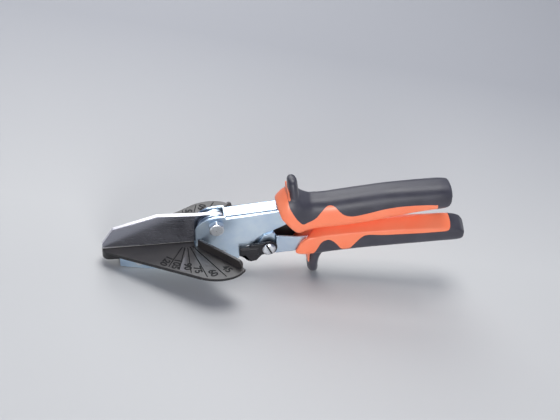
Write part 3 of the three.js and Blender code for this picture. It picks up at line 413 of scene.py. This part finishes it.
def groundBlade(build):
    x, z, slope = (bladeShape[k] for k in ("groundX", "groundZ", "groundSlope"))
    for place, normal in (((bladeShape["tip"], 0, 0), (1, 0, 0)), ((x, 0, z), (-slope, 0, 1))):
        bmesh.ops.bisect_plane(build, geom=build.verts[:] + build.edges[:] + build.faces[:], plane_co=place,
                               plane_no=normal)
    for face in build.faces:
        middle = face.calc_center_median()
        onFlank = abs(face.normal.y) > bladeShape["flank"]
        high = z + (middle.x - x) * slope
        face.material_index = int(middle.z < high if onFlank else middle.z > bladeShape["spineLow"])
    roundEdges(build, bladeShape["spine"], 3,
               chosen=lambda edge: min(v.co.z for v in edge.verts) > bladeShape["spineFrom"])
    roundEdges(build, bladeShape["edge"],
               chosen=lambda edge: max(v.co.z for v in edge.verts) < bladeShape["spineFrom"]
               and min(v.co.x for v in edge.verts) > bladeShape["tip"] - 0.01)


def leverDoubler():
    back, up = tool["pivotBack"], tool["pivotHeight"]
    first, last, radius, steps = (doubler[k] for k in ("from", "to", "radius", "arcSteps"))
    turns = [math.radians(first + (last - first) * k / steps) for k in range(steps + 1)]
    path = [(back + radius * math.cos(a), up + radius * math.sin(a)) for a in turns] + doubler["corners"]
    plate = loftThrough([[(x, y, z) for x, z in path] for y in (doubler["outside"], doubler["inside"])])
    x, z, wide = doubler["hole"]
    turns = [2 * math.pi * k / doubler["holeSides"] for k in range(doubler["holeSides"])]
    ring = [(x + wide * math.cos(a), z + wide * math.sin(a)) for a in turns]
    hole = loftThrough([[(x, y, z) for x, z in ring] for y in doubler["holeCut"]])
    return throughModifier(plate, "BOOLEAN", hole, operation="DIFFERENCE", solver="EXACT")


def shadedInside(build):  # faces of the lever that look towards its middle; they take the dark painted shade
    for face in build.faces:
        across = face.calc_center_median().y
        face.material_index = int(face.normal.y * across < -0.9 * abs(across) and abs(across) > 1)


def shadedSlot(build):
    flats = [face for face in build.faces if face.normal.y < -0.99]
    head = min(face.calc_center_median().y for face in flats)
    near, far = screwSlot["depth"]
    for face in flats:
        face.material_index = int(head + near < face.calc_center_median().y < head + far
                                  and face.calc_area() > screwSlot["area"] and len(face.verts) < screwSlot["corners"])


for name, (nodeName, body, width) in steelParts.items():
    build = copyOf(nodeName)
    materials = [slots[slotOf[nodeName]]]
    if name == "cutterBlade":
        groundBlade(build)
        materials.append(groundFinishAndHighlight)
    else:
        if name == "leverChannel":
            build = joined(build, leverDoubler())
            shadedInside(build)
            # the lever's inner faces take the dark grey painted shade
            materials.append(shadedInnerSteel)
        roundEdges(build, width)
    # the screw slot's floor is painted black as its shade
    if name == "latchScrew":
        shadedSlot(build)
        materials.append(inkAndPaintedShade)
    finishPiece(name, build, body, [nodeName], materials, even=True)
# Spring: the CAD wire with a rounder section
spring = throughModifier(copyOf("torsion_spring"), "SUBSURF", levels=1, render_levels=1)
finishPiece("torsionSpring", spring, "lever", ["torsion_spring"], [slots["spring_steel"]], sharp=60)
print("metal parts rounded")

# Anvil table: rounded rim and fences, and printed numbers beside the scale's lines. The grooves' floors, known by
# their height, are painted black as the grooves' shade, and the numbers are thin closed layers half sunk in the
# table.
# Edges beyond the tip, and between topBand and under, stay sharp. Faces steeper than sideSlope are the sides, which
# take a darker copy of the nylon as painted shade.
# Each number stands at its reach and angle from the place where the lines meet, on both wings.
anvil = {
    "edge": 0.45, "tip": -54, "topBand": -0.6, "under": -1.5, "grooveFloor": -0.5, "lineLonger": 2.6,
    "sideSlope": 0.75, "textSize": 6.9, "textDepth": 0.04, "textWeight": 0.26,
    "reach": {"120": 24.4, "105": 24.6, "90": 26.4, "75": 30.9, "60": 37.8, "45": 40.2},
    "angles": {"120": 129.5, "105": 111.5, "90": 94, "75": 81.5, "60": 67.8, "45": 53.2}}


def numberLayer(text, side):
    curve = bpy.data.curves.new("number", "FONT")
    curve.body, curve.size, curve.extrude = text, anvil["textSize"], anvil["textDepth"]
    curve.align_x, curve.align_y, curve.offset = "CENTER", "CENTER", anvil["textWeight"]
    item = bpy.data.objects.new("number", curve)
    bpy.context.scene.collection.objects.link(item)
    mesh = bpy.data.meshes.new_from_object(item.evaluated_get(bpy.context.evaluated_depsgraph_get()))
    build = bmesh.new()
    build.from_mesh(mesh)
    bmesh.ops.remove_doubles(build, verts=build.verts, dist=0.001)
    angle = math.radians(anvil["angles"][text]) * side
    reach = anvil["reach"][text]
    place = Matrix.Translation((reach * math.cos(angle), reach * math.sin(angle), 0))
    bmesh.ops.transform(build, matrix=place @ Matrix.Rotation(angle, 4, "Z"), verts=build.verts)
    bpy.data.objects.remove(item)
    bpy.data.curves.remove(curve)
    bpy.data.meshes.remove(mesh)
    return build


def lengthenLines(build):  # the lines run nearly to the rim
    for floor in [face for face in build.faces if face.material_index and abs(face.normal.z) > 0.9]:
        out = floor.calc_center_median()
        out = Vector((out.x, out.y, 0)).normalized()
        ends = sorted(floor.verts, key=lambda vert: vert.co.dot(out))[-2:]
        ends += [edge.other_vert(vert) for vert in ends for edge in vert.link_edges
                 if abs(edge.other_vert(vert).co.z - vert.co.z) > 0.1]
        for vert in ends:
            vert.co += out * anvil["lineLonger"]


def roundedRim(edge):  # edges of the top and the underside, but none at a line or at the thin nose
    heights = [vert.co.z for vert in edge.verts]
    return (not any(face.material_index for face in edge.link_faces)
            and min(vert.co.x for vert in edge.verts) > anvil["tip"]
            and (min(heights) > anvil["topBand"] or max(heights) < anvil["under"]))


def makeAnvil():
    build = copyOf("anvil_table")
    # groove floors take the black: painted shade in the grooves
    for face in build.faces:
        heights = [vert.co.z for vert in face.verts]
        face.material_index = int(max(heights) < 0.02 and abs(min(heights) - anvil["grooveFloor"]) < 0.02)
    lengthenLines(build)
    roundEdges(build, anvil["edge"], segments=3, chosen=roundedRim)
    build.normal_update()
    # sides and underside get the near-black copy of the nylon: painted shade
    for face in build.faces:
        if not face.material_index and face.normal.z < anvil["sideSlope"] and face.calc_center_median().z < 0:
            face.material_index = 2
    numbers = joined(*[numberLayer(text, side) for text in anvil["reach"] for side in (-1, 1)])
    for face in numbers.faces:
        face.material_index = 1
    build = joined(build, numbers)
    bmesh.ops.triangulate(build, faces=[face for face in build.faces if len(face.verts) > 4])
    build.normal_update()
    finishPiece("anvilTable", build, "frame", ["anvil_table"], [slots["anvil_plastic"], inkAndPaintedShade, shadedAnvilSide],
                sharp=12, flatTop=True)


makeAnvil()
print("anvil table made")

# Handles: station is top place and height, low place and height, half width and forward bow,
# each a share of length, height and half width. The border parts the soft grip from the hard core,
# and the grip's side of it is the side where farSide lies. The crease is a height along the lower handle's side.
handleMesh = {"sides": 56, "rings": 120, "voxel": 0.42, "meltPasses": 4, "creaseShare": 0.6, "creaseArch": 1.3}
upperHandle = {
    "front": 60.5, "length": 124.04, "level": 12.46, "height": 24.5, "half": 11, "squareness": 2.5,
    "frontEdge": 0.7, "rearEdge": 2.2, "bowPeak": 0.2, "crease": None, "coreInset": 0.18,
    "stations": [
        (0, 0.736, 0.125, -0.36, 0.88, 0.1), (0.025, 0.87, 0.135, -0.4, 1.04, 0.1),
        (0.055, 1, 0.147, -0.41, 1.1, 0.09), (0.085, 1.04, 0.158, -0.39, 1.09, 0.06),
        (0.125, 0.98, 0.172, -0.355, 1.04, 0.03), (0.155, 0.87, 0.19, -0.33, 0.99, 0.01),
        (0.205, 0.765, 0.225, -0.29, 0.965, 0), (0.28, 0.755, 0.28, -0.265, 0.98, 0),
        (0.37, 0.79, 0.37, -0.25, 1, 0), (0.5, 0.845, 0.5, -0.2, 1, 0), (0.65, 0.895, 0.65, -0.09, 1, 0),
        (0.8, 0.9, 0.8, 0.03, 1, 0), (0.92, 0.895, 0.92, 0.09, 0.99, 0), (0.965, 0.875, 0.965, 0.115, 0.96, 0),
        (0.988, 0.85, 0.988, 0.17, 0.88, 0), (1, 0.7, 1, 0.3, 0.68, 0)],
    "border": [
        (0.068, 1.13), (0.068, 0.81), (0.09, 0.549), (0.117, 0.316), (0.148, 0.136), (0.174, 0.161),
        (0.215, 0.267), (0.248, 0.467), (0.277, 0.606), (0.302, 0.638), (0.327, 0.593), (0.355, 0.442),
        (0.383, 0.324), (0.431, 0.263), (0.506, 0.32), (0.606, 0.426), (0.706, 0.471), (0.808, 0.463),
        (0.89, 0.422), (0.912, 0.316), (0.916, -0.6)],
    "farSide": 198}
lowerHandle = {
    "front": 76.5, "length": 121.5, "level": 0, "height": 20, "half": 8.75, "squareness": 3.2,
    "frontEdge": 0.8, "rearEdge": 1.2, "bowPeak": None, "coreInset": 0.18,
    "crease": [(0, 0.8), (0.15, 0.72), (0.25, 0.66), (0.4, 0.62), (0.556, 0.56), (0.716, 0.45), (0.877, 0.28),
               (1, 0.25)],
    "stations": [
        (0.098, 0.175, 0.02, -0.76, 1.1, 0.36), (0.108, 0.2, 0.035, -0.79, 1.17, 0.34),
        (0.125, 0.22, 0.07, -0.82, 1.2, 0.25), (0.15, 0.24, 0.13, -0.82, 1.12, 0.13),
        (0.21, 0.25, 0.2, -0.81, 1.04, 0.05), (0.3, 0.27, 0.3, -0.79, 1, 0), (0.45, 0.285, 0.45, -0.77, 1, 0),
        (0.65, 0.3, 0.65, -0.77, 1, 0), (0.85, 0.31, 0.85, -0.77, 1, 0), (0.92, 0.24, 0.92, -0.77, 0.99, 0),
        (0.955, 0.16, 0.96, -0.76, 0.97, 0), (0.985, -0.05, 0.985, -0.71, 0.88, 0),
        (0.995, -0.3, 0.995, -0.55, 0.62, 0)],
    "border": [
        (0.072, -0.9), (0.092, -0.71), (0.113, -0.445), (0.133, -0.21), (0.155, -0.12), (0.182, -0.11),
        (0.209, -0.225), (0.233, -0.4), (0.25, -0.56), (0.27, -0.66), (0.304, -0.66), (0.324, -0.48),
        (0.349, -0.28), (0.373, -0.13), (0.408, -0.05), (0.504, -0.115), (0.61, -0.145), (0.717, -0.175),
        (0.823, -0.185), (0.877, -0.175), (0.895, -0.08), (0.9, 0.05), (0.896, 0.225), (0.88, 0.475),
        (0.864, 0.775)],
    "farSide": -200}
# Guards: station is height, front, back and half width, as shares of rise, depth and half width.
# The core shows as a thin fin in front of each guard, up to finTop.
guardMesh = {"rings": 26, "sides": 40, "squareness": 2.2}
thumbGuard = {"front": 69.2, "depth": 5.8, "base": 33.285, "rise": 15.2, "half": 8, "edge": 0.9,
              "finTop": 0.5, "fin": 0.9, "finBack": 1.0,
              "stations": [(-0.8, 0.1, 1.75, 1.1), (-0.3, 0.07, 1.7, 1.1), (0, 0.09, 1.43, 1.07),
                           (0.25, 0, 1.28, 1.02), (0.5, -0.04, 1.2, 0.95), (0.8, -0.1, 1.1, 0.8),
                           (0.93, -0.02, 0.98, 0.6), (1, 0.22, 0.7, 0.3)]}
fingerGuard = {"front": 83.1, "depth": 4.2, "base": -15.6, "rise": -20.5, "half": 8, "edge": 0.9,
               "finTop": 0.36, "fin": 1.0, "finBack": 1.2,
               "stations": [(-0.35, 0.5, 4.1, 1), (0, 0.4, 3.1, 1), (0.3, 0.42, 2.45, 0.97),
                            (0.6, 0.45, 2.3, 0.86), (0.85, 0.6, 2.35, 0.62), (1, 0.95, 2.25, 0.3)]}


def roundedPlaces(first, last, frontEdge, rearEdge, count):  # places along with how far each end rounds in
    turns = [math.radians(a) for a in range(0, 90, 15)]
    places = [(first + frontEdge * (1 - math.cos(a)), frontEdge * (1 - math.sin(a))) for a in turns]
    low, high = first + frontEdge, last - rearEdge
    places += [(low + (high - low) * k / count, 0) for k in range(count + 1)]
    return places + [(last - rearEdge * (1 - math.cos(a)), rearEdge * (1 - math.sin(a)))
                     for a in reversed(turns)]


def superEllipse(sides, squareness, crease=None):  # with an arched top down to a crease, if there is one
    bend = handleMesh["creaseShare"]
    for k in range(sides):
        turn = 2 * math.pi * k / sides
        up, side = (math.copysign(abs(w) ** (2 / squareness), w) for w in (math.cos(turn), math.sin(turn)))
        share = math.acos(min(1, abs(math.cos(turn)))) / (math.pi / 2)
        if crease and math.cos(turn) > 0:
            reach = min(1, share / bend)
            arch = 1 - (1 - crease) * reach ** handleMesh["creaseArch"]
            up = arch if share < bend else crease * (1 - share) / (1 - bend)
            side = math.copysign(reach, side)
        yield up, side


def handleBody(shape, inset):  # skin through the stations, drawn in by an inset
    length = shape["length"] - 2 * inset
    rows = [((s[0] + s[2]) / 2 * length, *s) for s in shape["stations"]]
    at, peak = smoothTable(rows), shape["bowPeak"]
    creaseAt = smoothTable(shape["crease"]) if shape["crease"] else None
    rings = []
    for place, edge in roundedPlaces(rows[0][0], rows[-1][0], shape["frontEdge"], shape["rearEdge"],
                                     handleMesh["rings"]):
        _, topAlong, topShare, lowAlong, lowShare, wide, bow = at(place)
        front = shape["front"] + inset
        top = Vector((front + topAlong * length, 0, shape["level"] + topShare * shape["height"]))
        low = Vector((front + lowAlong * length, 0, shape["level"] + lowShare * shape["height"]))
        centre, rise = (top + low) / 2, (top - low) / 2
        rise *= 1 - (inset + edge) / rise.length
        reach = wide * shape["half"] - inset - edge
        crease = creaseAt(place / length)[1] if creaseAt else None
        ring = []
        for up, side in superEllipse(handleMesh["sides"], shape["squareness"], crease):
            ahead = min((1 - up) / (1 - peak), (1 + up) / (1 + peak)) if peak else 1 - up ** 4
            ring.append(centre + rise * up + Vector((-bow * shape["height"] * ahead, side * reach, 0)))
        rings.append(ring)
    return loftThrough(rings)


def guardBody(shape, top=1.0, fin=0.0):  # whole guard, or only the thin fin in front of it
    at = smoothTable(shape["stations"])
    edge = shape["edge"] / abs(shape["rise"])
    rings = []
    for up, short in roundedPlaces(shape["stations"][0][0], top, edge, edge, guardMesh["rings"]):
        _, near, far, wide = at(up)
        low, high = (shape["front"] + share * shape["depth"] for share in (near, far))
        low, high = (low - fin, low + shape["finBack"]) if fin else (low, high)
        inset = short * abs(shape["rise"])
        rings.append([((low + high) / 2 + max((high - low) / 2 - inset, 0.05) * cos,
                       max(wide * shape["half"] - inset, 0.05) * sin, shape["base"] + up * shape["rise"])
                      for cos, sin in superEllipse(guardMesh["sides"], guardMesh["squareness"])])
    return loftThrough(rings)


def moulded(build):  # melts overlapping shapes into one skin with small fillets
    build = throughModifier(build, "REMESH", mode="VOXEL", voxel_size=handleMesh["voxel"])
    for step in range(handleMesh["meltPasses"]):
        bmesh.ops.smooth_vert(build, verts=build.verts, factor=0.5, use_axis_x=True, use_axis_y=True,
                              use_axis_z=True)
    return build


def sealed(build):  # merges doubles, closes what a cut left open and turns the faces outward
    bmesh.ops.remove_doubles(build, verts=build.verts, dist=0.002)
    bmesh.ops.dissolve_degenerate(build, edges=build.edges, dist=0.001)
    bmesh.ops.holes_fill(build, edges=[edge for edge in build.edges if edge.is_boundary])
    bmesh.ops.triangulate(build, faces=[face for face in build.faces if len(face.verts) > 4])
    bmesh.ops.recalc_face_normals(build, faces=build.faces)
    return build


def gripSide(shape):  # block on the grip's side of the border
    points = [(shape["front"] + along * shape["length"], shape["level"] + up * shape["height"])
              for along, up in shape["border"]]
    path = curveThrough(points, 6)
    far = shape["farSide"]
    path = [(path[0][0], far)] + path + [(abs(far), path[-1][1]), (abs(far), far)]
    wide = 26  # well past the grip on each side
    return loftThrough([[(x, y, z) for x, z in path] for y in (-wide, wide)])


def makeHandle(names, nodes, shape, guard, body):
    core = joined(handleBody(shape, shape["coreInset"]), guardBody(guard, guard["finTop"], guard["fin"]))
    finishPiece(names[0], moulded(core), body, [nodes[0]], [slots["orange_plastic"]], sharp=60)
    grip = moulded(joined(handleBody(shape, 0), guardBody(guard)))
    grip = throughModifier(grip, "BOOLEAN", gripSide(shape), operation="INTERSECT", solver="EXACT")
    finishPiece(names[1], sealed(grip), body, [nodes[1]], [slots["soft_grip"]], sharp=50)


makeHandle(("upperCore", "upperGrip"), ("upper_handle_core", "upper_grip"), upperHandle, thumbGuard, "frame")
makeHandle(("lowerCore", "lowerGrip"), ("lower_handle_core", "lower_grip"), lowerHandle, fingerGuard, "lever")
print("handles moulded")

# Floor and light: each lamp's size and place in metres, and its power. The floor's colour darkens along shadeAlong, a
# painted shade for the light falling off towards the back and a little to the right.
studio = {
    "floorSize": 3, "floorNear": "c3c3c2", "floorBackShade": "a2a3a7", "shadeAlong": (0.15, 1, 0), "floorFade": (0.04, 0.32),
    "worldColour": "8fb0f0", "worldStrength": 0.17,
    "lamps": {"topBox": (0.6, (0, 0.22, 1.15), 9.1), "backBox": (0.8, (-0.14, 0.95, 0.78), 7.9),
              "frontBox": (0.5, (-0.1, -1.1, 0.33), 9.4), "sideBox": (0.4, (1.1, 0.1, 0.3), 1.5)}}


def makeStage():
    floor = bpy.data.meshes.new("floor")
    build = bmesh.new()
    bmesh.ops.create_grid(build, x_segments=1, y_segments=1, size=studio["floorSize"])
    build.to_mesh(floor)
    item = bpy.data.objects.new("floor", floor)
    bpy.context.scene.collection.objects.link(item)
    paper, tree, shader = newMaterial("floorPaper", studio["floorNear"], 0, 0.7)
    # painted shade: the floor's colour fades darker towards the back, as the light falls off
    place = addNode(tree, "ShaderNodeTexCoord")
    away = addNode(tree, "ShaderNodeVectorMath", {"operation": "DOT_PRODUCT"},
                   {"Vector": place.outputs["Object"]})
    away.inputs[1].default_value = studio["shadeAlong"]
    first, last = studio["floorFade"]
    share = addNode(tree, "ShaderNodeMapRange", {"From Min": first, "From Max": last},
                    {"Value": away.outputs["Value"]})
    fade = addNode(tree, "ShaderNodeValToRGB", {"stops": [(0, studio["floorNear"]), (1, studio["floorBackShade"])]},
                   {"Fac": share.outputs["Result"]})
    tree.links.new(fade.outputs["Color"], shader.inputs["Base Color"])
    floor.materials.append(paper)
    world = bpy.data.worlds.new("studio")
    world.use_nodes = True
    sky = world.node_tree.nodes["Background"]
    sky.inputs["Color"].default_value = linearColour(studio["worldColour"])
    sky.inputs["Strength"].default_value = studio["worldStrength"]
    bpy.context.scene.world = world
    for name, (size, spot, power) in studio["lamps"].items():
        lamp = bpy.data.lights.new(name, "AREA")
        lamp.energy, lamp.size = power, size
        place = bpy.data.objects.new(name, lamp)
        bpy.context.scene.collection.objects.link(place)
        place.location = spot
        place.rotation_euler = (Vector((0, 0, 0)) - place.location).to_track_quat("-Z", "Y").to_euler()


makeStage()
bpy.context.scene.view_settings.view_transform = "Standard"
print("stage set")
